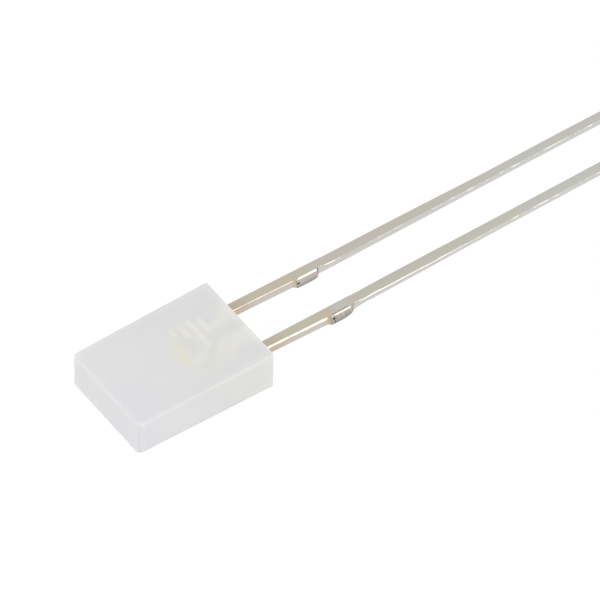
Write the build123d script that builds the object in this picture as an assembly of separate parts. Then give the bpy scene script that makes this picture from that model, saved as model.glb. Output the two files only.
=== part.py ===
from build123d import *
import os
from math import radians, sqrt, tan

# Rectangular through-hole LED, lying on one of its wide faces. Sizes are in millimetres.
# The origin is the centre of the base face, where the two leads leave the block.
# +X runs along the leads and away from the block, +Y points to the cathode, +Z is up.

# Cast epoxy block
body_length = 6.9  # base face to front face
body_width = 5.0  # across the two leads, at the base
body_thickness = 2.0  # at the base
side_draft = 0.48  # degrees, on each narrow side
face_draft = 0.78  # degrees, on each wide face
front_corner_radius = 0.2  # upright corners of the front end
edge_radius = 0.08  # all other long edges

# Straight leads
lead_pitch = 2.54
lead_width = 0.48
lead_thickness = 0.45
lead_edge_radius = 0.07
cathode_length = 25.4  # base face to tip
anode_extra_length = 1.5  # the anode is the longer lead
neck_length = 0.35  # straight part of a lead inside the block, before its flag

# Stand-off tabs, both on the -Y side of their lead
tab_distance = 4.13  # base face to the middle of the tab
tab_length = 1.02  # along the sheared outer face
tab_slope = 0.15  # run of the slope at each end
tab_height = 0.2
tab_root_radius = 0.12
tab_corner_radius = 0.07

# Flags: the wide ends of the leads inside the block
flag_reach = 2.75  # base face to the far edge of both flags
flag_gap = 0.3  # between the two flags, along Y
gap_shift = 0.15  # the gap starts this far towards the cathode from the middle
gap_bend = 0.5  # from the neck to the place where the gap turns
flag_chamfer = 0.4  # outer far corner of each flag

# Grooves coined across both faces of the cathode's flag, where the epoxy keys in
groove_count = 4
groove_pitch = 0.45
groove_start = 1.25  # base face to the first groove
groove_width = 0.16
groove_depth = 0.06

# Chip, its adhesive and the reflector cup that holds them
die_size = 0.3
die_thickness = 0.12
die_clearance = 0.04  # from the chip's corners to the edge of the cup's floor
attach_thickness = 0.02
attach_border = 0.01  # adhesive that shows around the chip
pad_diameter = 0.09
pad_thickness = 0.005
pad_offset = 0.08  # from the chip's centre to each pad's centre
cup_depth = 0.35
cup_wall_angle = 30.0  # degrees from the cup's axis
rim_width = 0.15
rim_height = 0.15  # the rim stands this far in front of the flag
boss_length = 0.75  # of the round boss that carries the cup
phosphor_crown = 0.24  # the resin's domed top above the rim

# Bond wires
wire_diameter = 0.03
loop_height = 0.58  # above the chip
loop_radius = 0.12
ball_diameter = 0.08
ball_height = 0.025
stitch_diameter = 0.1
stitch_height = 0.02

cathode_y = lead_pitch / 2
anode_y = -lead_pitch / 2
rim_reach = flag_reach + rim_height
floor_reach = rim_reach - cup_depth
floor_radius = die_size / sqrt(2) + die_clearance
mouth_radius = floor_radius + cup_depth * tan(radians(cup_wall_angle))
boss_radius = mouth_radius + rim_width
boss_back = rim_reach - boss_length
die_top = attach_thickness + die_thickness + pad_thickness

# The cup's own frame: its origin is the centre of the floor, its z points to the front face.
cup = Plane(origin=(-floor_reach, 0, 0), x_dir=(0, 1, 0), z_dir=(-1, 0, 0))


def tapered_slab(view, base_size, draft, depth):
    """A slab with the block's outline as seen square to the view plane: wide at the base, narrower in front."""
    base_half = base_size / 2
    front_half = base_half - body_length * tan(radians(draft))
    outline = Polyline(
        (0, -base_half),
        (0, base_half),
        (-body_length, front_half),
        (-body_length, -front_half),
        close=True,
    )
    return extrude(make_face(view * outline), amount=depth, both=True)


def drafted_block():
    """The block's outer form, which narrows to the front both ways, with rounded edges."""
    plan = tapered_slab(Plane.XY, body_width, side_draft, body_thickness)
    profile = tapered_slab(Plane.XZ, body_thickness, face_draft, body_width)
    block = plan & profile
    upright = block.edges().group_by(Axis.X)[0].filter_by(Axis.Z)
    block = fillet(upright, front_corner_radius)
    rounded = [
        edge
        for edge in block.edges()
        if edge.center().X < -edge_radius and abs(edge.center().Z) > body_thickness / 4
    ]
    return fillet(rounded, edge_radius)


def straight_lead(middle_y, length):
    """One lead from its neck to its tip with its stand-off tab, long edges rounded."""
    side = lead_width / 2
    near = tab_distance - tab_length / 2
    far = tab_distance + tab_length / 2
    outline = Polyline(
        (-neck_length, side),
        (-neck_length, -side),
        (near - tab_slope, -side),
        (near, -side - tab_height),
        (far, -side - tab_height),
        (far + tab_slope, -side),
        (length, -side),
        (length, side),
        close=True,
    )
    blank = make_face(outline)
    roots = blank.vertices().group_by(Axis.Y)[1].sort_by(Axis.X)[1:-1]
    blank = fillet(roots, tab_root_radius)
    corners = blank.vertices().group_by(Axis.Y)[0]
    blank = fillet(corners, tab_corner_radius)
    bar = extrude(blank, amount=lead_thickness / 2, both=True)
    long_edges = [
        edge
        for edge in bar.edges().group_by(Axis.Z)[0] + bar.edges().group_by(Axis.Z)[-1]
        if -neck_length / 2 < edge.center().X < length - lead_width
    ]
    return Pos(0, middle_y, 0) * fillet(long_edges, lead_edge_radius)


def flag(points):
    """A flat stamping of the lead's thickness with the given outline."""
    return extrude(make_face(Polyline(*points, close=True)), amount=lead_thickness / 2, both=True)


def gap_edge(side):
    """A flag's edge along the gap, from the neck to the far end. side is 1 for the cathode, -1 for the anode.

    The cathode's far stretch lies inside the cup's boss, and the anode's keeps the gap beside the boss.
    """
    gap_y = gap_shift + side * flag_gap / 2
    foot_y = -mouth_radius if side > 0 else -boss_radius - flag_gap
    return [
        (-neck_length, gap_y),
        (-neck_length - gap_bend, gap_y),
        (-boss_back, foot_y),
        (-flag_reach, foot_y),
    ]


def flag_points(side, middle_y):
    """The whole outline of a flag: the edge along the gap, then the outer side in line with the lead."""
    outer_y = middle_y + side * lead_width / 2
    return gap_edge(side) + [
        (-flag_reach, outer_y - side * flag_chamfer),
        (-flag_reach + flag_chamfer, outer_y),
        (-neck_length, outer_y),
    ]


def groove(distance, face):
    """A V-groove along Y across one face of the flag; face is 1 for the top, -1 for the underside."""
    surface = face * lead_thickness / 2
    above = face * groove_depth
    profile = Polyline(
        (-distance - groove_width, surface + above),
        (-distance + groove_width, surface + above),
        (-distance, surface - above),
        close=True,
    )
    across = make_face(Plane.XZ * profile)
    return extrude(across, amount=body_width / 2, dir=(0, 1, 0), both=True)


def make_cathode():
    plate = flag(flag_points(1, cathode_y))
    for index in range(groove_count):
        for face in (1, -1):
            plate -= groove(groove_start + index * groove_pitch, face)
    boss = cup * Pos(0, 0, cup_depth - boss_length / 2) * Cylinder(boss_radius, boss_length)
    hollow = cup * Pos(0, 0, cup_depth / 2) * Cone(floor_radius, mouth_radius, cup_depth)
    return straight_lead(cathode_y, cathode_length) + plate + boss - hollow


def make_anode():
    plate = flag(flag_points(-1, anode_y))
    return straight_lead(anode_y, cathode_length + anode_extra_length) + plate


def make_attach():
    border = die_size + 2 * attach_border
    return cup * Pos(0, 0, attach_thickness / 2) * Box(border, border, attach_thickness)


def make_die():
    chip = Pos(0, 0, attach_thickness + die_thickness / 2) * Box(die_size, die_size, die_thickness)
    for side in (1, -1):
        pad = Cylinder(pad_diameter / 2, pad_thickness)
        chip += Pos(side * pad_offset, 0, die_top - pad_thickness / 2) * pad
    return cup * chip


def bond_wire(side, land_y, land_height):
    """A gold wire from a pad on the chip over its loop to a landing place, with ball and stitch.

    land_height is the height of the landing place above the cup's floor.
    """
    start = (side * pad_offset, 0, die_top)
    top = (side * pad_offset, 0, die_top + loop_height)
    end = (side * land_y, 0, land_height + wire_diameter / 2)
    path = FilletPolyline(start, top, end, radius=loop_radius)
    section = Plane(origin=start, z_dir=(0, 0, 1)) * Circle(wire_diameter / 2)
    wire = sweep(section, path=path)
    ball = Pos(start[0], 0, die_top + ball_height / 2) * Cylinder(ball_diameter / 2, ball_height)
    stitch = Pos(end[0], 0, land_height + stitch_height / 2) * Cylinder(stitch_diameter / 2, stitch_height)
    return cup * (wire + ball + stitch)


def make_phosphor(inside):
    """Resin that fills the cup up to a low dome, around the pieces already in it."""
    dome_radius = (mouth_radius**2 + phosphor_crown**2) / (2 * phosphor_crown)
    fill = Pos(0, 0, cup_depth / 2) * Cone(floor_radius, mouth_radius, cup_depth)
    dome = Pos(0, 0, cup_depth + phosphor_crown - dome_radius) * Sphere(dome_radius)
    above_rim = Pos(0, 0, cup_depth + phosphor_crown / 2) * Cylinder(mouth_radius, phosphor_crown)
    resin = cup * (fill + (dome & above_rim))
    for piece in inside:
        resin -= piece
    return resin


anode_land_y = (boss_radius + flag_gap - anode_y + lead_width / 2) / 2
cathode_land_y = mouth_radius + rim_width / 2

cathode_lead = make_cathode()
anode_lead = make_anode()
die_attach = make_attach()
led_die = make_die()
anode_bond_wire = bond_wire(-1, anode_land_y, flag_reach - floor_reach)
cathode_bond_wire = bond_wire(1, cathode_land_y, cup_depth)
phosphor_fill = make_phosphor([die_attach, led_die, anode_bond_wire, cathode_bond_wire])

pieces = {
    "cathode_lead": cathode_lead,
    "anode_lead": anode_lead,
    "die_attach": die_attach,
    "led_die": led_die,
    "phosphor_fill": phosphor_fill,
    "anode_bond_wire": anode_bond_wire,
    "cathode_bond_wire": cathode_bond_wire,
}

# The epoxy is cast around everything else, so its hollow is their exact shape.
epoxy_body = drafted_block()
for piece in pieces.values():
    epoxy_body -= piece
pieces["epoxy_body"] = epoxy_body

os.makedirs("parts", exist_ok=True)
for name, piece in pieces.items():
    export_step(piece, f"parts/{name}.step")
    print(f"{name}: {piece.volume:.5f} mm3 in {len(piece.solids())} solid")
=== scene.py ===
# %% [markdown]
# # A milky rectangular LED lying on its side
#
# The object is a light emitting diode for circuit boards: a small block of milky cast epoxy, 5 x 7 mm
# and 2 mm thick, with two straight tinned leads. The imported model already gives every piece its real
# size and place. This lesson makes the three pieces that can be seen again, as finer meshes, and gives
# all eight pieces their finish. It uses metres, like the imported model, and one named value for a
# millimetre, because every size on this part is easier to read in millimetres.

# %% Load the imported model
from math import cos, pi, radians, sin, tan

import bmesh
import bpy
from mathutils import Matrix, Vector, noise


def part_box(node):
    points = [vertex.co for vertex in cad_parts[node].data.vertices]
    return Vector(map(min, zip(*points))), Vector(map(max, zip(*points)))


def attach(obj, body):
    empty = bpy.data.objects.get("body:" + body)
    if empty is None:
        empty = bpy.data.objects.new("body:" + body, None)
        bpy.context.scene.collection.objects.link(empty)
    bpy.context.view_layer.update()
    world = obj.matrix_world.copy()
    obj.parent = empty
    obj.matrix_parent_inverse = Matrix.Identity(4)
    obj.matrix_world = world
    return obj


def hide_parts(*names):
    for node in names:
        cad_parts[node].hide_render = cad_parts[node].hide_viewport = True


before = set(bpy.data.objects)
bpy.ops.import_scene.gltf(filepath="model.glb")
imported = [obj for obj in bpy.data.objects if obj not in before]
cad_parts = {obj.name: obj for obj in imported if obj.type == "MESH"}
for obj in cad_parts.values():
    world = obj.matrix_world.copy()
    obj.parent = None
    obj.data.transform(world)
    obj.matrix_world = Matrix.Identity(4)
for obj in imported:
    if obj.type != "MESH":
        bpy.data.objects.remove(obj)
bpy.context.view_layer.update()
MM = 0.001
print("packed nodes:", ", ".join(sorted(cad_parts)))

# %% [markdown]
# ## The camera
#
# Small parts are pictured from far away with a long lens, so that edges that are parallel on the part
# stay parallel in the picture. The camera stands on the anode's side of the part, turned 36.5 degrees
# towards the block's front end, and looks down at 48.5 degrees. It is placed from those angles and a
# distance rather than by eye, so that each angle can be changed by itself. Its position is one sum: back
# along the line of sight, and then a little to the right and up, which sets where the part stands in the
# frame.

# %% Camera
view_turn = radians(-36.531)  # about the vertical, from straight along +Y
view_height = radians(48.504)  # above the floor
view_roll = radians(1.367)
view_distance = 421.8 * MM
aim_right = 2.536 * MM
aim_up = 1.433 * MM
lens_mm = 600
film_mm = 36

to_camera = Vector((
    sin(view_turn) * cos(view_height),
    -cos(view_turn) * cos(view_height),
    sin(view_height),
))
level_right = Vector((cos(view_turn), sin(view_turn), 0))
level_up = to_camera.cross(level_right)
picture_right = cos(view_roll) * level_right + sin(view_roll) * level_up
picture_up = cos(view_roll) * level_up - sin(view_roll) * level_right
eye = view_distance * to_camera + aim_right * picture_right + aim_up * picture_up

camera_data = bpy.data.cameras.new("camera")
camera_data.lens = lens_mm
camera_data.sensor_width = film_mm
camera = bpy.data.objects.new("camera", camera_data)
bpy.context.scene.collection.objects.link(camera)
turn = Matrix((picture_right, picture_up, to_camera)).transposed().to_4x4()
camera.matrix_world = Matrix.Translation(eye) @ turn
bpy.context.scene.camera = camera
print("camera stands", round(eye.length / MM), "mm from the block")

# %% [markdown]
# ## Writing finishes as sums
#
# A finish in Blender is a graph of nodes. It can be drawn by hand in the node editor, but here each graph
# is written as Python, which is shorter and can be read from top to bottom. A wire stands for one output,
# and adding or multiplying wires adds the Math node for it. Every other node comes from one method, add,
# which takes the node's type, its settings and then its inputs. A function beside them turns the usual
# 0 to 255 screen colours into the light values that shaders work with.

# %% Wires and nodes
class Wire:
    """One output of a node graph, so that sums can be written the usual way."""

    def __init__(self, graph, socket):
        self.graph = graph
        self.socket = socket

    def math(self, operation, first, second):
        return self.graph.add("ShaderNodeMath", {"operation": operation}, {0: first, 1: second})

    def __add__(self, other):
        return self.math("ADD", self, other)

    def __sub__(self, other):
        return self.math("SUBTRACT", self, other)

    def __rsub__(self, other):
        return self.math("SUBTRACT", other, self)

    def __mul__(self, other):
        return self.math("MULTIPLY", self, other)

    __radd__ = __add__
    __rmul__ = __mul__


class Graph:
    """A node graph that starts empty."""

    def __init__(self, owner):
        owner.use_nodes = True
        self.tree = owner.node_tree
        self.tree.nodes.clear()

    def add(self, kind, settings=None, inputs=None, output=0):
        """One more node: its type, its settings, its inputs as values or wires, and the output to use."""
        node = self.tree.nodes.new(kind)
        for name, value in (settings or {}).items():
            setattr(node, name, value)
        for name, value in (inputs or {}).items():
            if isinstance(value, Wire):
                self.tree.links.new(value.socket, node.inputs[name])
            else:
                node.inputs[name].default_value = value
        return Wire(self, node.outputs[output] if node.outputs else None)

    def soft_step(self, value, start, end):
        """0 before start, 1 after end and a smooth rise between them. start may be the larger one."""
        inputs = {"Value": value, "From Min": start, "From Max": end}
        return self.add("ShaderNodeMapRange", {"interpolation_type": "SMOOTHSTEP"}, inputs)

    def band(self, value, start, full, fade, end):
        """1 from full to fade, with a smooth fall to 0 at start and at end."""
        return self.soft_step(value, start, full) * self.soft_step(value, end, fade)

    def mix(self, first, second, share):
        """Two colours mixed: share is 0 for the first and 1 for the second."""
        return self.add("ShaderNodeMix", {"data_type": "RGBA"}, {0: share, 6: first, 7: second}, output=2)

    def vector(self, operation, first, second=(0, 0, 0), output=0):
        return self.add("ShaderNodeVectorMath", {"operation": operation}, {0: first, 1: second}, output)

    def place(self):
        """The surface point in millimetres, as a vector wire."""
        spot = self.add("ShaderNodeTexCoord", output=3)
        return self.vector("MULTIPLY", spot, (1 / MM,) * 3)

    def larger(self, first, second):
        return self.add("ShaderNodeMath", {"operation": "MAXIMUM"}, {0: first, 1: second})

    def distance(self, place, middle, reach):
        """How far a place is from middle, counted in reach along each axis, so 1 is the rim of an egg."""
        aside = self.vector("SUBTRACT", place, middle)
        return self.vector("LENGTH", self.vector("DIVIDE", aside, reach), output=1)

    def strokes(self, place, lines, soft):
        """How much of a point the strokes of a broad pen cover, 0 to 1. Each is (start, end, half width)."""
        whole = 0.0
        for start, end, half_width in lines:
            start, end = Vector((*start, 0)), Vector((*end, 0))
            run = end - start
            from_start = self.vector("SUBTRACT", place, start)
            share = self.vector("DOT_PRODUCT", from_start, run / run.length_squared, output=1)
            share = self.add("ShaderNodeClamp", inputs={0: share})
            along = self.add("ShaderNodeVectorMath", {"operation": "SCALE"}, {0: run, 3: share})
            aside = self.vector("LENGTH", self.vector("SUBTRACT", from_start, along), output=1)
            whole = self.larger(whole, self.soft_step(aside, half_width + soft, half_width - soft))
        return whole

    def grain(self, place, stretch, detail=2.0):
        """Noise from 0 to 1 on a place that is first multiplied by stretch, given per millimetre."""
        scaled = self.vector("MULTIPLY", place, stretch)
        return self.add("ShaderNodeTexNoise", inputs={"Vector": scaled, "Scale": 1.0, "Detail": detail})

    def bump(self, height, depth):
        """A normal that makes height look like relief of the given depth in millimetres."""
        return self.add("ShaderNodeBump", inputs={"Height": height, "Distance": depth * MM})

    def finish(self, inputs):
        """The principled surface with these inputs, joined to the material's output."""
        surface = self.add("ShaderNodeBsdfPrincipled", inputs=inputs)
        self.add("ShaderNodeOutputMaterial", inputs={"Surface": surface})


def screen(red, green, blue):
    """A screen colour from 0 to 255 as the light values of a colour input."""
    def light(value):
        value = value / 255
        return value / 12.92 if value <= 0.04045 else ((value + 0.055) / 1.055) ** 2.4
    return (light(red), light(green), light(blue), 1.0)


print("screen 255 is light", screen(255, 255, 255)[0], "and screen 128 is", round(screen(128, 0, 0)[0], 3))

# %% [markdown]
# ## What shows through the epoxy
#
# The powder in the epoxy hides nearly everything that is more than a millimetre down, and the little that
# still shows is a faint tint. Real transparency would be one way to get it, but the powder would then
# need a cloud of its own inside the block, which is slow and hard to steer. So the tint is painted, with
# strokes of a broad soft pen that follow the forms inside.
#
# Each inner form has its strokes: the two wide flags that the leads end in, the four coined grooves
# across the cathode's flag, the darker gap between the flags, and the yellow resin in the cup with the
# brown shade beside it. The strokes are given where the forms really are, in millimetres from the middle
# of the base. Seen through the epoxy they appear a little nearer to the viewer than they are, so one
# shift moves them all.

# %% Strokes that follow the inner forms
seen_shift = Vector((-0.21, -0.29, 0))
inner_forms = []


def inner_form(name, tint, strength, soft, lines):
    """Strokes of one tint. A line is its start, its end and half its width."""
    inner_forms.append((screen(*tint), strength, soft, lines))
    print(name, "is drawn with", len(lines), "strokes")


inner_form("both flags", (225.2, 224.2, 219.2), 0.9, 0.26, [
    ((-2.29, 0.42), (-2.29, -0.52), 1.08),
    ((-1.62, -0.92), (-1.34, -0.9), 0.48),
])
inner_form("necks", (229.5, 228.4, 224), 0.9, 0.26, [
    ((-0.95, 0.62), (-0.29, 0.7), 0.22),
    ((-0.45, 0.76), (0.11, 1.12), 0.3),
    ((0.08, 1.25), (0.25, 1.5), 0.2),
    ((-1.2, -0.56), (0.31, -0.56), 0.44),
    ((-0.12, -0.9), (0.31, -0.95), 0.26),
])
inner_form("strip along the base", (233.5, 232, 228), 0.8, 0.07, [((0.06, 0.95), (0.06, -0.9), 0.06)])
inner_form("gap", (222.6, 221.5, 218.2), 0.9, 0.15, [
    ((0.05, 0.09), (-0.49, 0.09), 0.24),
    ((-0.49, 0.14), (-0.99, 0.14), 0.16),
    ((-0.99, 0.11), (-1.79, -0.51), 0.12),
])
inner_form("gap's far end", (221, 223, 218), 0.8, 0.14, [((-1.69, -0.46), (-2.09, -0.86), 0.11)])
inner_form("shade beside the boss", (224, 224, 223), 0.9, 0.12, [((-1.99, 0.36), (-1.99, -0.31), 0.1)])
inner_form("olive shade", (220.5, 220.5, 213), 0.85, 0.14, [
    ((-2.41, 1.16), (-2.41, 0.62), 0.08),
    ((-2.34, 0.4), (-2.29, -0.02), 0.1),
    ((-2.49, -0.98), (-2.49, -1.0), 0.05),
])
inner_form("bright rim", (231, 230, 227), 0.8, 0.2, [((-2.65, -0.6), (-2.2, -0.48), 0.14)])
inner_form("resin", (227.6, 226, 211), 0.9, 0.28, [((-2.9, 0.38), (-2.99, -0.27), 0.16)])
inner_form("resin's core", (228, 225, 209), 0.5, 0.16, [((-2.88, 0.1), (-2.9, -0.16), 0.12)])
inner_form("resin's edge", (229, 225, 215), 0.6, 0.14, [((-3.15, 0.1), (-3.02, -0.5), 0.06)])
inner_form("brown shade", (223.5, 220, 211), 0.85, 0.11, [
    ((-2.62, 0.47), (-2.54, 0.26), 0.06),
    ((-2.42, 0.0), (-2.42, -0.08), 0.05),
])
inner_form("copper glints", (229, 225, 216), 0.8, 0.08, [
    ((-1.74, -0.93), (-1.76, -1.05), 0.05),
    ((-0.34, 0.53), (-0.4, 0.5), 0.04),
])
inner_form("bright neck", (230.5, 229.5, 225), 0.6, 0.13, [((-0.79, 0.71), (-0.09, 0.76), 0.1)])
inner_form("bright flag", (227, 226, 220.5), 0.8, 0.15, [
    ((-1.34, -0.56), (-0.99, -0.81), 0.15),
    ((-1.35, -1.2), (-1.15, -1.2), 0.15),
    ((-1.47, 0.75), (-1.47, 1.05), 0.03),
])
inner_form("green shade", (223, 225, 220), 0.7, 0.1, [((-0.89, -0.33), (-0.79, -0.54), 0.07)])

# %% Strokes that follow the grooves
groove_first = 1.25
groove_pitch = 0.45
groove_half_width = 0.08
pale = (235.5, 234, 229.5)
warm = (235, 231.5, 221)
faint = (232.5, 231.5, 224.5)
groove_spans = [(0.53, 1.28, pale), (-0.08, 1.39, pale), (0.75, 1.34, warm), (1.13, 1.34, faint)]

for index, (start, end, tint) in enumerate(groove_spans):
    reach = -groove_first - index * groove_pitch
    inner_form("groove", tint, 0.9, 0.14, [((reach, start), (reach, end), groove_half_width)])

# %% [markdown]
# ## Light and shade in the milk
#
# The milk carries painted light and shade. It is painted darker towards the steel, cooler round the near
# front corner, and warm with a painted glow where the anode shines through the near side. A picture would
# hold such changes pixel by pixel, and one long gradient couldn't follow them. Here each is one soft egg:
# a middle, a reach along each axis, and how much of the tint the egg holds. Inside, the tint is full up to
# a part of the reach, and it fades to nothing at the rim.
#
# The rounding of the far upper edge shows no light line on the real part, so its egg is painted shade: long
# and thin and darker than the face beside it.

# %% Tints of the milk
endless = 99  # a reach past the whole block, so the tint doesn't change along that axis
painted_milk_light = []


def paint_milk_light(name, tint, share, full, middle, reach):
    """An egg of one tint, most of them painted light or shade. full is the part of its reach, up to 1,
    inside which the tint doesn't fade.
    """
    painted_milk_light.append((screen(*tint), share, full, middle, reach))
    print(name, "holds", share, "of its tint")


# Eggs of painted light and shade: shade towards the steel, light low on the near side, the anode's glow,
# shade high on the front and along the long edges, and shade on the far rounding
paint_milk_light("shade towards the steel", (222.5, 222.5, 222.5), 1, 0.35, (1, 0, 0), (6.5, endless, endless))
paint_milk_light("lighter near side", (229, 229, 229), 0.7, 0.3, (-4.4, -2.6, -0.5), (5, 0.6, 1))
paint_milk_light("cool front corner", (223.4, 223.2, 229.5), 0.8, 0.1, (-6.8, -1.5, 0), (2.6, 2.4, 4))
paint_milk_light("painted glow on the side by the anode", (227, 226, 223.5), 0.7, 0.3, (-0.4, -2.6, 0), (3.2, 0.6, 4))
paint_milk_light("glow of the anode's flag", (228, 227, 220), 0.6, 0.1, (-2.4, -2.5, 0.66), (1.2, 0.4, 0.7))
paint_milk_light("light foot by the anode", (233, 232, 229), 0.8, 0.2, (-0.4, -2.6, -1), (1.3, 0.6, 0.8))
paint_milk_light("shade high on the front", (220.5, 220, 218.5), 0.5, 0.5, (-6.9, 0, 0.45), (0.15, endless, 0.95))
for side in (1, -1):
    edge_middle = (-3.8, side * 2.35, 1)
    paint_milk_light("shade along a long edge", (221, 221, 221.5), 0.5, 0.3, edge_middle, (2.8, 0.9, 0.3))
paint_milk_light("painted shade on the far rounding", (211, 211, 212), 1, 0.4, (-3.45, 2.47, 0.95), (6, 0.12, 0.16))

# %% [markdown]
# ## Milky epoxy
#
# The block is cast from epoxy with a diffusing powder in it, so light enters it, scatters and comes out
# again nearby. That is subsurface scattering, and it makes the narrow edges glow a little lighter than
# the wide faces. The finish starts from plain milk and lays the eggs of painted light and shade and the
# strokes over it. Last come faint clouds, because the powder never spreads quite evenly, and the fine
# relief of the mould, which also makes the gloss a little uneven.

# %% Milky epoxy
milk = screen(226, 226, 226.5)
cloudy_milk = screen(222, 222, 222)
cloud_grain = 1.1  # clouds and relief are so many grains per millimetre
mould_grain = 6
mould_depth_mm = 0.004
scatter_reach = (0.4 * MM, 0.4 * MM, 0.38 * MM)


def milky_epoxy():
    material = bpy.data.materials.new("milky_epoxy")
    graph = Graph(material)
    place = graph.place()
    colour = milk
    # the eggs of painted light and shade go over the plain milk
    for tint, share, full, middle, reach in painted_milk_light:
        egg = graph.soft_step(graph.distance(place, middle, reach), 1, full)
        colour = graph.mix(colour, tint, egg * share)
    beneath = graph.vector("SUBTRACT", graph.vector("MULTIPLY", place, (1, 1, 0)), seen_shift)
    for tint, strength, soft, lines in inner_forms:
        colour = graph.mix(colour, tint, graph.strokes(beneath, lines, soft) * strength)
    cloud = graph.grain(place, (cloud_grain,) * 3)
    colour = graph.mix(colour, cloudy_milk, graph.soft_step(cloud, 0.45, 0.75) * 0.15)
    relief = graph.grain(place, (mould_grain,) * 3, detail=4.0)
    graph.finish({
        "Base Color": colour,
        "Roughness": 0.36 + 0.12 * relief,
        "Subsurface Weight": 0.4,
        "Subsurface Radius": scatter_reach,
        "Subsurface Scale": 1.0,
        "Specular IOR Level": 0.3,
        "Normal": graph.bump(relief, mould_depth_mm),
    })
    return material


epoxy = milky_epoxy()
print("milky epoxy has", len(epoxy.node_tree.nodes), "nodes")

# %% [markdown]
# ## The block
#
# The real block narrows towards its front so that it leaves the mould: half a degree on each narrow side
# and 0.8 degrees on each wide face. Its edges are rounded by 0.08 mm and the upright corners of the front
# by 0.2 mm. A box of eight corners is moved to those places, and its edges are then bevelled with several
# segments, which gives true arcs. A Bevel modifier with one width would round them all alike, so the
# edges are chosen here instead. The two long lines of the base stay sharp, because the base is the open
# side of the mould, where the epoxy was poured in. Its two short upright edges are rounded.

# %% A mesh object from bmesh
smooth_below = 35  # degrees


def piece(name, mesh_builder, material):
    """A finished piece: smooth where faces meet at less than smooth_below, riding on the one body."""
    mesh = bpy.data.meshes.new(name)
    bmesh.ops.recalc_face_normals(mesh_builder, faces=mesh_builder.faces)
    mesh_builder.to_mesh(mesh)
    mesh_builder.free()
    mesh.polygons.foreach_set("use_smooth", [True] * len(mesh.polygons))
    mesh.set_sharp_from_angle(angle=radians(smooth_below))
    mesh.materials.append(material)
    made = bpy.data.objects.new(name, mesh)
    bpy.context.scene.collection.objects.link(made)
    shading = made.modifiers.new("flat faces stay flat", "WEIGHTED_NORMAL")
    shading.keep_sharp = True
    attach(made, "root")
    print(name, "has", len(mesh.polygons), "faces")
    return made


print("faces that meet at less than", smooth_below, "degrees look smooth")

# %% Block form
block_low, block_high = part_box("epoxy_body")
block_length = block_high.x - block_low.x
side_draft = radians(0.48)
face_draft = radians(0.78)
front_corner_radius = 0.2 * MM
front_corner_segments = 8
edge_radius = 0.08 * MM
edge_segments = 6
corner_angle = radians(60)  # faces that meet at more than this make an edge of the block


def extent(edge, axis):
    """How far an edge goes along an axis, which is 0 for X, 1 for Y and 2 for Z."""
    return abs(edge.verts[0].co[axis] - edge.verts[1].co[axis])


def rounded(block, edges, radius, segments):
    """Bevels the edges of the block into arcs."""
    bmesh.ops.bevel(block, geom=edges, offset=radius, segments=segments, profile=0.5, affect="EDGES")


def drafted_block():
    """The eight corners of the drafted block, with its edges rounded."""
    block = bmesh.new()
    bmesh.ops.create_cube(block, size=2)
    for corner in block.verts:
        front = corner.co.x < 0
        narrower = block_length * tan(side_draft) if front else 0
        thinner = block_length * tan(face_draft) if front else 0
        x = block_low.x if front else block_high.x
        y = corner.co.y * (block_high.y - narrower)
        z = corner.co.z * (block_high.z - thinner)
        corner.co = (x, y, z)
    middle_x = block_low.x / 2
    upright = [edge for edge in block.edges if extent(edge, 2) > MM]
    at_front = [edge for edge in upright if edge.verts[0].co.x < middle_x]
    rounded(block, at_front, front_corner_radius, front_corner_segments)
    across = [edge for edge in block.edges if extent(edge, 1) > MM]
    base_lines = [edge for edge in across if all(corner.co.x > middle_x for corner in edge.verts)]
    sharp = [edge for edge in block.edges if edge.calc_face_angle() > corner_angle]
    chosen = [edge for edge in sharp if edge not in base_lines]
    rounded(block, chosen, edge_radius, edge_segments)
    return block


body = piece("milky_block", drafted_block(), epoxy)
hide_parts("epoxy_body")

# %% [markdown]
# ## Where a point of a lead lies
#
# The leads are stamped from thin plated steel strip and dipped in tin. Their finish changes with the
# distance from the block and from the stand-off tab, and with the way the surface faces. Several
# materials on several pieces could hold those changes, but then each border would be a hard line. One
# material that asks where its point lies gives soft borders, and both leads can share it.

# %% Sizes of the leads
lead_width = 0.48 * MM
lead_thickness = 0.45 * MM
half_width = lead_width / 2
half_thick = lead_thickness / 2
edge_round = 0.07 * MM
lead_offset = 1.27 * MM  # from the middle of the block to each lead
cathode_length = 25.4 * MM
tab_near = 3.62 * MM
tab_far = 4.64 * MM
tab_slope = 0.15 * MM
tab_root_round = 0.12 * MM
tab_corner_round = 0.07 * MM
print("a tab is", round((tab_far - tab_near) / MM, 2), "mm long")

# %% A point of a lead
class LeadPoint:
    """Wires for where a point of a lead lies, in millimetres, and for the way its surface faces."""

    def __init__(self, graph):
        self.place = graph.place()
        parts = graph.add("ShaderNodeSeparateXYZ", inputs={0: self.place}).socket.node
        self.along, across, self.height = (Wire(graph, parts.outputs[i]) for i in range(3))
        self.from_near = self.along - tab_near / MM
        self.from_far = self.along - tab_far / MM
        self.anode = graph.soft_step(across, 0.2, -0.2)
        self.beside = across + (2 * self.anode - 1) * (lead_offset / MM)
        facing = graph.add("ShaderNodeTexCoord", output=1)
        self.to_side = graph.vector("DOT_PRODUCT", facing, (0, -1, 0), output=1)
        self.to_top = graph.vector("DOT_PRODUCT", facing, (0, 0, 1), output=1)


tab_ends = [round(end / MM, 2) for end in (tab_near, tab_far)]
print("a point of a lead is measured from the tab's ends, at", tab_ends, "mm")

# %% [markdown]
# ## The plating
#
# Near the block the plating is warmer, like pale brass, and it turns into neutral tin grey within 16 mm.
# A few patches stay warmer. Over its tab the anode turns a colder grey in patches, with a tanned spot
# before it. The rounding of the far edge is painted greyer than the top, as painted shade. One colour ramp
# along X could hold the long change, but three soft steps can each be moved by themselves.

# %% Plated top
neutral_at = 16.0  # mm from the block


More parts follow.
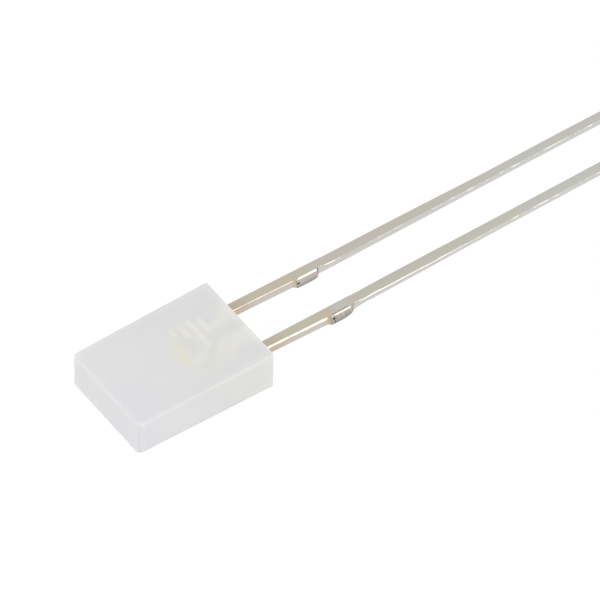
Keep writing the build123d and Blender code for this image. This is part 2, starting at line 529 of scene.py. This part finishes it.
def plated_top(graph, point):
    colour = graph.mix(screen(184, 171, 152), screen(192, 186, 168), graph.soft_step(point.along, 0.1, 1.6))
    colour = graph.mix(colour, screen(191, 187, 176), graph.soft_step(point.along, 3.2, 6.0))
    colour = graph.mix(colour, screen(193, 191, 185), graph.soft_step(point.along, 8.0, neutral_at))
    patch = graph.grain(point.place, (0.7, 2.5, 2.5))
    colour = graph.mix(colour, screen(196, 189, 168), graph.soft_step(patch, 0.5, 0.8) * 0.3)
    over_tab = graph.soft_step(point.from_near, 0.1, 0.5) * graph.soft_step(point.from_far, 0.3, -0.2)
    # a colder grey over the anode's tab, in patches
    colder_over_tab = point.anode * over_tab * (0.3 + 0.5 * patch)
    colour = graph.mix(colour, screen(194, 194, 191), colder_over_tab)
    from_tan = graph.distance(point.place, (tab_near / MM - 0.02, -1.2, 0.2), (0.3, 0.4, 0.3))
    colour = graph.mix(colour, screen(198, 183, 148), graph.soft_step(from_tan, 1, 0.2) * 0.4)
    # painted shade on the rounding of the far edge, chosen by the way it faces
    far_rounding_shade = graph.band(point.to_side, -0.97, -0.85, -0.5, -0.15)
    return graph.mix(colour, screen(176, 177, 178), far_rounding_shade)


print("the plating is neutral from", neutral_at, "mm on")

# %% [markdown]
# ## The sheared side
#
# The side on which the strip was cut is painted a little lighter than the top: partly its own sheared
# surface, partly a painted reflection of the white floor below it. Near the block the copper under the
# tin shows in its upper half, further on the anode than on the cathode. The rounding at its foot is
# painted darker, as painted shade. The way the surface faces tells the side from the top, so no border
# has to be drawn on the mesh.

# %% Sheared side
copper_end = 1.5  # mm from the block, on the cathode
copper_further = 0.9  # mm, on the anode


def sheared_side(graph, point, colour):
    sheared_and_floor_lit = graph.mix(screen(200, 184, 166), screen(204, 196, 189), graph.soft_step(point.along, 0.6, 1.8))
    sheared_and_floor_lit = graph.mix(sheared_and_floor_lit, screen(206, 203, 198), graph.soft_step(point.along, 3.6, 5.2))
    sheared_and_floor_lit = graph.mix(sheared_and_floor_lit, screen(208, 208, 205), graph.soft_step(point.along, 8.0, 14.0))
    near_block = graph.soft_step(point.along - copper_further * point.anode, copper_end, 0.7)
    copper = graph.soft_step(point.height, 0.0, 0.12) * near_block
    sheared_and_floor_lit = graph.mix(sheared_and_floor_lit, screen(208, 176, 144), copper * 0.7)
    # the side's lighter colour is partly painted reflection of the floor
    colour = graph.mix(colour, sheared_and_floor_lit, graph.soft_step(point.to_side, 0.45, 0.9))
    # painted shade on the rounding at the foot
    foot = graph.soft_step(point.to_top, -0.08, -0.4) * graph.soft_step(point.to_side, 0.3, 0.6)
    return graph.mix(colour, screen(186, 184, 180), foot * 0.6)


print("copper shows up to", copper_end, "mm, on the anode up to", copper_end + copper_further, "mm")

# %% [markdown]
# ## The bright ridge
#
# A painted highlight runs along the edge between the top and the sheared side, over the real one that the
# lamps draw there. Up to the tab it is painted bright, more on the anode than on the cathode. Half a
# millimetre behind the tab it starts again: on the anode as one long line that fades out from 4 to 8 mm
# behind it, on the cathode as a dash of half a millimetre. Apart from these it is bright only in short
# dashes. A noise that is stretched along the lead gives them: where it is high the ridge is bright, and
# between the dashes it is painted darker than the top, as painted shade.

# %% Ridge
line_end = 8.0  # mm behind the tab


def ridge(graph, point, colour):
    edge = graph.soft_step(point.to_side, 0.38, 0.62) * graph.soft_step(point.to_top, 0.3, 0.6)
    # painted highlight along the ridge up to the tab
    painted_ridge_highlight = graph.mix(screen(200, 192, 173), screen(216, 213, 199), point.anode)
    before_tab = graph.soft_step(point.from_near, 0.0, -0.2)
    colour = graph.mix(colour, painted_ridge_highlight, edge * before_tab)
    first_dash = graph.soft_step(point.from_far, 1.08, 0.92) * (1 - point.anode)
    long_highlight = graph.soft_step(point.from_far, line_end, 4.0) * point.anode * 0.7
    highlight_dashes = graph.soft_step(graph.grain(point.place, (2.1, 0.5, 0.5), detail=1.0), 0.45, 0.65)
    highlight_dashes = highlight_dashes * (0.35 + 0.35 * graph.soft_step(point.along, 9, 15))
    bright = graph.larger(highlight_dashes, graph.larger(first_dash, long_highlight))
    bright = bright * graph.soft_step(point.from_far, 0.42, 0.55)
    # painted highlight in dashes, painted shade between them
    dashed_highlight = graph.mix(screen(163, 162, 157), screen(220, 218, 210), bright)
    behind_tab = graph.soft_step(point.from_far, -0.12, -0.02)
    return graph.mix(colour, dashed_highlight, edge * behind_tab)


print("the anode's bright line ends", line_end, "mm behind its tab")

# %% [markdown]
# ## The stand-off tabs
#
# The tabs were sheared last of all, after plating. The near slope keeps its tan plating, deeper on the
# anode. The tool rolled the tab's upper edge round, and its white lens with rounded ends is a painted
# highlight. A dark line of painted shade lies at its root on the anode, in the groove there. The lens
# could be a small mesh of its own, but an egg in the finish has the soft rim of a highlight on a rolled
# edge.

# %% Top of the tab
highlight_middle_mm = 0.58  # from the tab's near end


def tab_top(graph, point, colour):
    tan_slope = graph.band(point.from_near, -0.3, -0.14, -0.05, 0.03)
    tan_slope = tan_slope * graph.soft_step(point.to_side, 0.1, 0.6)
    colour = graph.mix(colour, screen(198, 178, 138), tan_slope * (0.35 + 0.45 * point.anode))
    over_tab = graph.soft_step(point.from_near, 0.1, 0.18) * graph.soft_step(point.from_far, -0.04, -0.14)
    upward = graph.soft_step(point.to_top, 0.25, 0.45)
    # painted shade in the groove at the tab's root
    root_shade_line = over_tab * upward * graph.soft_step(point.beside, -0.17, -0.2)
    colour = graph.mix(colour, screen(145, 147, 133), root_shade_line * point.anode * 0.9)
    from_middle = (point.from_near - highlight_middle_mm) * (1.9 + 0.25 * point.anode)
    lens = graph.add("ShaderNodeCombineXYZ", inputs={0: from_middle, 1: point.beside, 2: point.height})
    lens = graph.soft_step(graph.distance(lens, (0, -0.35, 0.2), (1, 0.2, 0.3)), 1.05, 0.9)
    # painted highlight on the rolled upper edge
    lens_highlight = lens * graph.soft_step(point.beside, -0.23, -0.27) * upward
    return graph.mix(colour, screen(252, 251, 247), lens_highlight)


print("the middle of the white lens is", highlight_middle_mm, "mm behind the tab's near end")

# %% [markdown]
# ## The cut face of a tab
#
# The cut face is bare steel: pinkish grey, darker at its foot, and scratched upright, most on the anode.
# On the anode a lighter strip at its near end is painted light on a facet that the mesh doesn't have, with
# painted shade in the fold behind it, and the long far slope is tan. Fine dark lines of painted shade and
# dark reflection mark the near end of both cut faces, and on the cathode the far end too. The nick where
# the tool bit in is painted black, as the shade inside it. These marks are too fine to need a mesh, so
# they are painted.

# %% Cut face of the tab
scratches_per_mm = 16


def cut_face(graph, point, colour):
    """The colour with the bare cut face on it, then where that face is, and its scratches."""
    cut = graph.soft_step(point.from_near, -0.05, 0.0) * graph.soft_step(point.from_far, 0.1, 0.04)
    cut = cut * graph.soft_step(point.to_side, 0.6, 0.85) * graph.soft_step(point.beside, -0.28, -0.32)
    scratches = graph.soft_step(graph.grain(point.place, (scratches_per_mm, 1, 1.5)), 0.4, 0.6)
    bare = graph.mix(screen(170, 164, 162), screen(205, 195, 185), graph.soft_step(point.height, -0.2, 0.15))
    bare = graph.mix(bare, screen(146, 136, 128), scratches * (0.15 + 0.35 * point.anode))
    bare = graph.mix(bare, screen(146, 146, 142), 0.15 * point.anode)
    bare = graph.mix(bare, screen(138, 133, 132), graph.soft_step(point.height, -0.06, -0.2) * 0.85)
    # painted light on a facet at the near end of the anode's cut face
    painted_lit_facet = graph.soft_step(point.from_near, 0.1, 0.07) * point.anode
    bare = graph.mix(bare, screen(184, 181, 179), painted_lit_facet * 0.8)
    return graph.mix(colour, bare, cut), cut, scratches


print("the scratches lie about", round(1 / scratches_per_mm, 2), "mm apart")

# %% Lines and nick of the tab
nick_half_length = 0.07  # mm
nick_half_height = 0.034  # mm


def tab_lines(graph, point, colour):
    on_side = graph.soft_step(point.to_side, 0.3, 0.6)
    # painted shade and dark reflection along the tab's ends
    near_end_shade = graph.band(point.from_near, -0.06, -0.03, -0.01, 0.02)
    far_end_shade = graph.band(point.from_far, 0.0, 0.06, 0.1, 0.16)
    ends = graph.larger(near_end_shade * 0.6, far_end_shade * (1 - point.anode)) * on_side
    colour = graph.mix(colour, screen(128, 112, 102), ends * 0.8)
    # painted shade in the fold behind the facet
    fold_shade = graph.band(point.from_near - 0.14 * point.anode, -0.05, -0.02, 0.0, 0.03) * point.anode
    colour = graph.mix(colour, screen(84, 80, 78), fold_shade * on_side * 0.7)
    far_slope = graph.band(point.from_far, 0.02, 0.08, 0.2, 0.3) * graph.soft_step(point.to_side, 0.15, 0.5)
    colour = graph.mix(colour, screen(182, 172, 156), far_slope * point.anode * 0.75)
    # the nick is painted black as the shade inside it
    nick_place = {0: point.from_near - 0.05 * point.anode, 1: 0.0, 2: point.height - 0.05 * point.anode}
    nick = graph.add("ShaderNodeCombineXYZ", inputs=nick_place)
    nick = graph.distance(nick, (0.06, 0, 0.03), (nick_half_length, 1, nick_half_height))
    return graph.mix(colour, screen(20, 14, 14), graph.soft_step(nick, 1.3, 0.8) * on_side)


print("the nick is", 2 * nick_half_length, "mm long and", 2 * nick_half_height, "mm high")

# %% [markdown]
# ## Tinned steel
#
# The whole finish lays these steps over each other: the plated top, the sheared side, the ridge between
# them, and the tab last, because its cut face has no plating. Rolling the strip has left very fine lines
# along the metal, so their grain is stretched a hundred times along X. On the cut face scratches take the
# place of the slow waves that the dipped tin has elsewhere, and it is duller.

# %% Tinned steel
rolling_lines = (0.6, 60, 60)
tin_waves = (1.6, 9, 9)
relief_depth_mm = 0.005


def tinned_steel():
    material = bpy.data.materials.new("tinned_steel")
    graph = Graph(material)
    point = LeadPoint(graph)
    colour = plated_top(graph, point)
    colour = sheared_side(graph, point, colour)
    colour = ridge(graph, point, colour)
    colour = tab_top(graph, point, colour)
    colour, cut, scratches = cut_face(graph, point, colour)
    colour = tab_lines(graph, point, colour)
    lines = graph.grain(point.place, rolling_lines, detail=3.0)
    waves = graph.grain(point.place, tin_waves)
    relief = lines * 0.5 + waves * (1 - cut) + scratches * cut
    graph.finish({
        "Base Color": colour,
        "Metallic": 1.0,
        "Roughness": 0.22 + 0.1 * lines + 0.12 * cut,
        "Normal": graph.bump(relief, relief_depth_mm),
    })
    return material


tin = tinned_steel()
print("tinned steel has", len(tin.node_tree.nodes), "nodes")

# %% [markdown]
# ## The leads
#
# Each lead is one stamping: a straight bar outside the block, and inside it a wide flag, which on the
# cathode also carries the reflector cup. The part inside can't be seen, so it is kept as packed. The bar
# could be an extruded outline with a Bevel modifier, but then it couldn't twist or get slimmer. So it is
# made again as a skin over many cross-sections. Every cross-section is a rectangle with four rounded
# corners, and its -Y side follows the outline of the stand-off tab. The tool that sheared the tab pushed
# its upper edge in a little, so there the side leans outwards to its foot.
#
# Thin leads are never quite straight. Behind its tab each one is twisted by some degrees, farther out it
# gets a little slimmer, and the anode leans towards the cathode by 0.14 mm over the length that shows.
# Stamping doesn't round an edge evenly either: the upper edge is rounder up to the tab, on the anode
# twice as round as on the cathode. All of this is far smaller than the lead, but it decides how wide the
# light side looks beside the darker top. Each lead's form is a few stops along its length, with straight
# changes between them.

# %% How each lead departs from a straight bar
cathode_form = {
    "aside": [(0, 0.022), (2.5, 0), (5.5, -0.04), (8, -0.025), (14, -0.02), (18, 0.008)],
    "size": [(6, 1), (9, 0.975), (10.5, 0.947), (13.7, 0.862), (17.6, 0.896)],
    "twist": [(4.85, 0), (5.4, 10), (9, 14)],
    "edge": [(4.75, 0.08), (5, 0.07)],
    "foot": [(4.4, 0.07), (4.64, 0.15), (4.79, 0.07)],
    "flare": (-0.02 * MM, 0.03 * MM),
    "tab_height": 0.18 * MM,
    "far_slope": 0.15 * MM,
    "pushed_in": 0.5,
    "seed": 1.0,
}
anode_form = {
    "aside": [(0, 0.038), (5, 0.038), (5.6, 0.06), (10.5, 0.11), (18, 0.18), (26.9, 0.25)],
    "size": [(5, 1), (6.5, 1.03), (9, 1.01), (10.5, 0.968), (13.7, 0.94)],
    "twist": [(4.85, 0), (5.4, 20)],
    "edge": [(3.5, 0.16), (3.7, 0.08), (5, 0.07), (5.3, 0.1), (9, 0.07)],
    "foot": [(4.3, 0.07), (4.64, 0.22), (4.79, 0.07)],
    "flare": (-0.015 * MM, 0.085 * MM),
    "tab_height": 0.215 * MM,
    "far_slope": 0.25 * MM,
    "pushed_in": 0.4,
    "seed": 7.0,
}


def between(x, stops):
    """A lead's value at x metres from the block, from stops of (place in millimetres, value)."""
    for (start, first), (end, second) in zip(stops, stops[1:]):
        if x < end * MM:
            share = max(0, x / MM - start) / (end - start)
            return first + share * (second - first)
    return stops[-1][1]


print("10 mm from the block the anode is twisted by", between(10 * MM, anode_form["twist"]), "degrees")

# %% Outline of the side with the tab
bar_start = -0.12 * MM  # a little inside the block
station_step = 0.2 * MM
curve_steps = 5


def rounded_path(corners, rounds):
    """The corners joined by straight runs, each inner corner turned into a curve of its radius."""
    path = [Vector(corners[0])]
    for before, corner, after, radius in zip(corners, corners[1:], corners[2:], rounds):
        corner = Vector(corner)
        back = (Vector(before) - corner).normalized()
        on = (Vector(after) - corner).normalized()
        reach = radius / tan(back.angle(on) / 2)
        for step in range(curve_steps + 1):
            share = step / curve_steps
            curve = (1 - share) ** 2 * back + share**2 * on
            path.append(corner + reach * curve)
    path.append(Vector(corners[-1]))
    return path


def side_outline(tip, form):
    """Points (x, distance from the lead's middle) along the -Y side, from inside the block to the tip."""
    corners = [
        (bar_start, half_width + form["flare"][0]),
        (tab_near - tab_slope, half_width + form["flare"][1]),
        (tab_near, half_width + form["tab_height"]),
        (tab_far, half_width + form["tab_height"]),
        (tab_far + form["far_slope"], half_width),
        (tip, half_width),
    ]
    path = rounded_path(corners, [tab_root_round, tab_corner_round, tab_corner_round, tab_root_round])
    outline = [path[0]]
    for point in path[1:]:
        start = outline[-1]
        pieces = max(1, round((point.x - start.x) / station_step))
        outline += [start.lerp(point, (i + 1) / pieces) for i in range(pieces)]
    return outline


print("outline of the cathode's side has", len(side_outline(cathode_length, cathode_form)), "points")

# %% One cross-section
corner_steps = 6


def section(left, right, foot, top, upper_round, foot_round, left_round):
    """Points (y, z) of a rounded rectangle: left is its reach towards +Y, right and foot towards -Y."""
    corners = [
        (-right, top, upper_round, pi / 2),
        (-foot, -top, foot_round, pi),
        (left, -top, left_round, 3 * pi / 2),
        (left, top, left_round, 0),
    ]
    points = []
    for y, z, radius, start in corners:
        middle = Vector((y - radius if y > 0 else y + radius, z - radius if z > 0 else z + radius))
        for step in range(corner_steps + 1):
            angle = start + step / corner_steps * pi / 2
            points.append(middle + radius * Vector((cos(angle), sin(angle))))
    return points


plain_reach = (half_width, half_width, half_width, half_thick)
plain_section = section(*plain_reach, edge_round, edge_round, edge_round)
print("a section has", len(plain_section), "points")

# %% Skin of a lead
tip_round = 0.03 * MM
edge_wander = 0.3  # share by which the upper rounding wanders
edge_wander_per_mm = 1.4


def lead_section(x, reach, inset, form):
    """One cross-section with the lead's own size, roundings and twist. reach is that of its -Y side."""
    size = between(x, form["size"])
    wander = 1 + edge_wander * noise.noise(Vector((x / MM * edge_wander_per_mm, form["seed"], 0)))
    radius = between(x, form["edge"]) * MM * wander
    on_tab = tab_near - tab_slope < x < tab_far + form["far_slope"]
    stand_back = form["pushed_in"] * (reach - half_width) if on_tab else 0
    outline = section(
        half_width * size - inset,
        (reach - stand_back) * size - inset,
        reach * size - inset,
        half_thick * size - inset,
        max(radius - inset, edge_round / 2),
        between(x, form["foot"]) * MM - inset,
        edge_round - inset,
    )
    turned = Matrix.Rotation(radians(between(x, form["twist"])), 2)
    return [turned @ point for point in outline]


def lead_bar(builder, middle_y, tip, form):
    """The bar outside the block, closed at both ends, as rings of points joined by faces."""
    stations = [(point.x, point.y, 0.0) for point in side_outline(tip - tip_round, form)]
    stations.append((tip, half_width, tip_round))
    rings = []
    for x, reach, inset in stations:
        y = middle_y + between(x, form["aside"]) * MM
        points = lead_section(x, reach, inset, form)
        rings.append([builder.verts.new((x, y + point.x, point.y)) for point in points])
    for ring, following in zip(rings, rings[1:]):
        for i, vertex in enumerate(ring):
            builder.faces.new((vertex, following[i], following[i - 1], ring[i - 1]))
    builder.faces.new(rings[0])
    builder.faces.new(rings[-1])


print("the cathode's bar takes", len(side_outline(cathode_length, cathode_form)) + 1, "sections")

# %% Both leads
stamping_end = -0.1 * MM  # the bar starts a little further in, so the two overlap
same_point = 0.0001 * MM


def inner_stamping(builder, node):
    """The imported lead's part inside the block, cut off where the bar begins and closed there."""
    builder.from_mesh(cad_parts[node].data)
    bmesh.ops.remove_doubles(builder, verts=builder.verts, dist=same_point)
    everything = builder.verts[:] + builder.edges[:] + builder.faces[:]
    cut = bmesh.ops.bisect_plane(
        builder, geom=everything, plane_co=(stamping_end, 0, 0), plane_no=(1, 0, 0), clear_outer=True
    )
    rim = [item for item in cut["geom_cut"] if isinstance(item, bmesh.types.BMEdge)]
    bmesh.ops.holes_fill(builder, edges=rim)


def lead(node, middle_y, form):
    builder = bmesh.new()
    inner_stamping(builder, node)
    lead_bar(builder, middle_y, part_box(node)[1].x, form)
    made = piece("tinned_" + node, builder, tin)
    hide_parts(node)


lead("cathode_lead", lead_offset, cathode_form)
lead("anode_lead", -lead_offset, anode_form)

# %% [markdown]
# ## What is sealed inside
#
# The chip, its adhesive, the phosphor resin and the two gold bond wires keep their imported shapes. The
# block hides them, but each still gets its own finish, so that the part is right when it is cut open. One
# function makes all four finishes, because each only wanders between two colours in grains of its size.

# %% Finishes of the inner pieces
def grained(name, dark, pale, grain_size, roughness, metallic=0.0):
    """A finish that wanders between two colours in grains of the given size in millimetres."""
    material = bpy.data.materials.new(name)
    graph = Graph(material)
    grains = graph.grain(graph.place(), (1 / grain_size,) * 3, detail=3.0)
    graph.finish({
        "Base Color": graph.mix(dark, pale, graph.soft_step(grains, 0.35, 0.65)),
        "Roughness": roughness + 0.15 * grains,
        "Metallic": metallic,
        "Normal": graph.bump(grains, grain_size / 10),
    })
    return material


gold = grained("bond_gold", screen(222, 176, 88), screen(250, 214, 132), 0.05, 0.15, 1.0)
inner_finishes = {
    "led_die": grained("chip", screen(96, 108, 128), screen(140, 152, 170), 0.06, 0.12),
    "die_attach": grained("chip_adhesive", screen(200, 198, 188), screen(222, 220, 212), 0.03, 0.3),
    "phosphor_fill": grained("phosphor_resin", screen(226, 196, 40), screen(250, 232, 110), 0.02, 0.5),
    "anode_bond_wire": gold,
    "cathode_bond_wire": gold,
}
for node, material in inner_finishes.items():
    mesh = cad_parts[node].data
    mesh.materials.clear()
    mesh.materials.append(material)
    print(node, "is finished in", material.name)

# %% [markdown]
# ## Floor and background
#
# The part lies on a plain white table in a white surround. The floor reflects light as matt white does.
# To the camera and in reflections most of it shines with its own white instead, so that it merges with
# the background, and only a trace of the part's shadow is left where it is deepest. The surround is
# exactly white to the camera and in reflections, so metal shows a white room. As a source of light its
# walls are brighter than its ceiling, which lights the sides of the block as much as its top. A brighter
# lamp could also make the floor white, but it would burn out the pale block.

# %% Floor
white = (1, 1, 1, 1)
matt_white = (0.85, 0.85, 0.85, 1)
floor_glow = 1.05
glow_share = 0.88
floor_size = 600 * MM
floor_gap = 0.002 * MM  # under the block, so that the two faces don't lie in one plane


def seen_rays(graph):
    """1 for the rays that see the surround: from the camera, reflected, or through glass."""
    light_path = graph.add("ShaderNodeLightPath").socket.node
    names = ("Is Camera Ray", "Is Glossy Ray", "Is Transmission Ray")
    camera_ray, glossy_ray, transmission_ray = (Wire(graph, light_path.outputs[name]) for name in names)
    return camera_ray + glossy_ray + transmission_ray


def white_floor():
    material = bpy.data.materials.new("white_floor")
    graph = Graph(material)
    matt = graph.add("ShaderNodeBsdfDiffuse", inputs={"Color": matt_white})
    glow = graph.add("ShaderNodeEmission", inputs={"Color": white, "Strength": floor_glow})
    shown = graph.add("ShaderNodeMixShader", inputs={0: seen_rays(graph) * glow_share, 1: matt, 2: glow})
    graph.add("ShaderNodeOutputMaterial", inputs={"Surface": shown})
    return material


floor_builder = bmesh.new()
bmesh.ops.create_grid(floor_builder, x_segments=1, y_segments=1, size=floor_size / 2)
floor_mesh = bpy.data.meshes.new("floor")
floor_builder.to_mesh(floor_mesh)
floor_builder.free()
floor_mesh.materials.append(white_floor())
floor = bpy.data.objects.new("floor", floor_mesh)
bpy.context.scene.collection.objects.link(floor)
floor.location.z = block_low.z - floor_gap
print("floor lies at", round(floor.location.z / MM, 3), "mm")

# %% Surround
wall_light = 1.07
ceiling_light = 0.68
world = bpy.data.worlds.new("white_room")
bpy.context.scene.world = world
graph = Graph(world)
direction = graph.add("ShaderNodeTexCoord")
upward = graph.vector("DOT_PRODUCT", direction, (0, 0, 1), output=1)
light = wall_light + (ceiling_light - wall_light) * graph.add("ShaderNodeClamp", inputs={0: upward})
room = graph.add("ShaderNodeBackground", inputs={"Color": white, "Strength": light})
backdrop = graph.add("ShaderNodeBackground", inputs={"Color": white, "Strength": 1.0})
shown = graph.add("ShaderNodeMixShader", inputs={0: seen_rays(graph), 1: room, 2: backdrop})
graph.add("ShaderNodeOutputWorld", inputs={"Surface": shown})
print("walls light the part at", wall_light, "and the ceiling at", ceiling_light)

# %% [markdown]
# ## Lamps
#
# Two large softboxes stand low at the sides, one to the right in front and one to the left behind. Each
# is where the rounded edges of the block and the leads mirror it towards the camera, which draws the thin
# light lines along those edges. Large lamps are the right kind here, because small ones would draw hard
# shadows and sparkling dots on such a small glossy part.

# %% Lamps
softbox_size = 180 * MM
softbox_distance = 250 * MM
softbox_power = 0.131


def softbox(name, direction):
    """A square area lamp that faces the block from the given direction."""
    data = bpy.data.lights.new(name, "AREA")
    data.size = softbox_size
    data.energy = softbox_power
    made = bpy.data.objects.new(name, data)
    bpy.context.scene.collection.objects.link(made)
    towards = Vector(direction).normalized()
    made.location = towards * softbox_distance
    made.rotation_euler = towards.to_track_quat("Z", "Y").to_euler()
    print(name, "is", round(made.location.length / MM), "mm away")


softbox("right_softbox", (0.394, -0.748, 0.533))
softbox("left_softbox", (-0.748, 0.533, 0.394))

# %% [markdown]
# ## Colours of the picture
#
# The picture's colours are shown as they are, with no film look.

# %% Colours and end
bpy.context.scene.view_settings.view_transform = "Standard"
